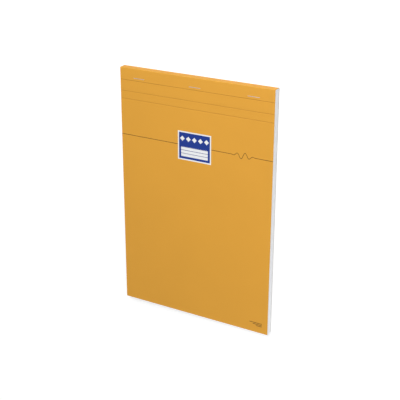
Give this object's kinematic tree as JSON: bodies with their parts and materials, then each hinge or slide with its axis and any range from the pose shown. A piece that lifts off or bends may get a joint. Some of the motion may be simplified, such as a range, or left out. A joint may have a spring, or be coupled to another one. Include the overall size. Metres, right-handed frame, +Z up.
{
  "type": "legal pad",
  "caption": "Writing pad stapled at the head: a block of white sheets on a grey board, in an orange card cover that opens upwards.",
  "frame": {"origin": "under the middle of the pad, at the level that the pad rests on when it lies on its back", "axes": "+X across the pad to the right as the cover is read, +Y from the foot to the stapled head, +Z up out of the front cover"},
  "size_m": [0.21, 0.315, 0.0111],
  "materials": {
    "cover_card": "satin",
    "sheet_paper": "matte",
    "grey_board": "matte",
    "staple_wire": "satin"
  },
  "bodies": {
    "pad": {"sheets": "sheet_paper", "backboard": "grey_board", "cover_head": "cover_card", "staple_left": "staple_wire", "staple_middle": "staple_wire", "staple_right": "staple_wire"},
    "cover": {"front_cover": "cover_card"}
  },
  "joints": [
    {"name": "cover_hinge", "type": "hinge", "parent": "pad", "child": "cover", "pos_m": [0, 0.1423, 0.01106], "axis": [-1, 0, 0], "range_deg": [0, 178]}
  ]
}
